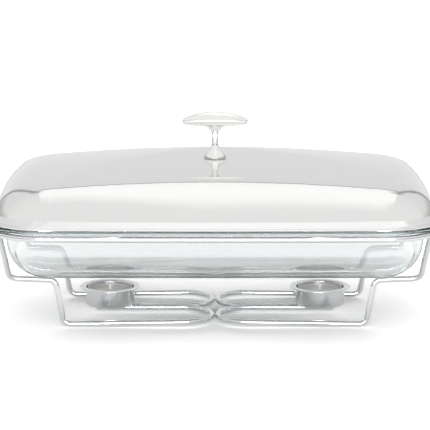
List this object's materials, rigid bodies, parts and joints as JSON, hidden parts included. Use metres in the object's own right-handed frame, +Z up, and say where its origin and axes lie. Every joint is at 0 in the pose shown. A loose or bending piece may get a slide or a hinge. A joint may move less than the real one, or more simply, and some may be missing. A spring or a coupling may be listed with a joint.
{
  "type": "chafing dish",
  "caption": "Oblong glass baking dish with a domed polished steel lid and T-bar knob, hung in a bent wire stand over tealights in candle cups.",
  "frame": {"origin": "on the table under the middle of the object, where the base wires stand", "axes": "+X along the long side to the right as seen from the front, +Y to the back, +Z up"},
  "size_m": [0.39, 0.232, 0.1778],
  "materials": {
    "chrome_wire": "bright chrome plating on round steel wire",
    "cup_steel": "chrome plated sheet, bright outside",
    "lid_steel": "mirror polished stainless sheet",
    "knob_metal": "polished casting",
    "screw_steel": "plain stainless",
    "gasket": "translucent pale silicone",
    "dish_glass": "clear pressed glass with a faint green edge",
    "can_aluminium": "thin bright drawn cup",
    "wax": "matt off-white paraffin",
    "wick": "white cotton braid",
    "clip_tinplate": "bright tinplate"
  },
  "bodies": {
    "stand": {"rim_ring": "chrome_wire", "front_left_leg": "chrome_wire", "front_right_leg": "chrome_wire", "back_left_leg": "chrome_wire", "back_right_leg": "chrome_wire", "left_candle_cup": "cup_steel", "right_candle_cup": "cup_steel"},
    "dish": {"glass_dish": "dish_glass"},
    "lid": {"lid_shell": "lid_steel", "lid_knob": "knob_metal", "knob_gasket": "gasket", "knob_washer": "screw_steel", "knob_screw": "screw_steel"},
    "left_tealight": {"left_tealight_can": "can_aluminium", "left_tealight_wax": "wax", "left_tealight_wick": "wick", "left_wick_clip": "clip_tinplate"},
    "right_tealight": {"right_tealight_can": "can_aluminium", "right_tealight_wax": "wax", "right_tealight_wick": "wick", "right_wick_clip": "clip_tinplate"}
  },
  "joints": [
    {"name": "dish_lift", "type": "slide", "parent": "stand", "child": "dish", "axis": [0, 0, 1], "range_m": [0, 0.08]},
    {"name": "lid_lift", "type": "slide", "parent": "dish", "child": "lid", "axis": [0, 0, 1], "range_m": [0, 0.1]},
    {"name": "left_tealight_lift", "type": "slide", "parent": "stand", "child": "left_tealight", "axis": [0, 0, 1], "range_m": [0, 0.0165]},
    {"name": "right_tealight_lift", "type": "slide", "parent": "stand", "child": "right_tealight", "axis": [0, 0, 1], "range_m": [0, 0.0165]}
  ]
}
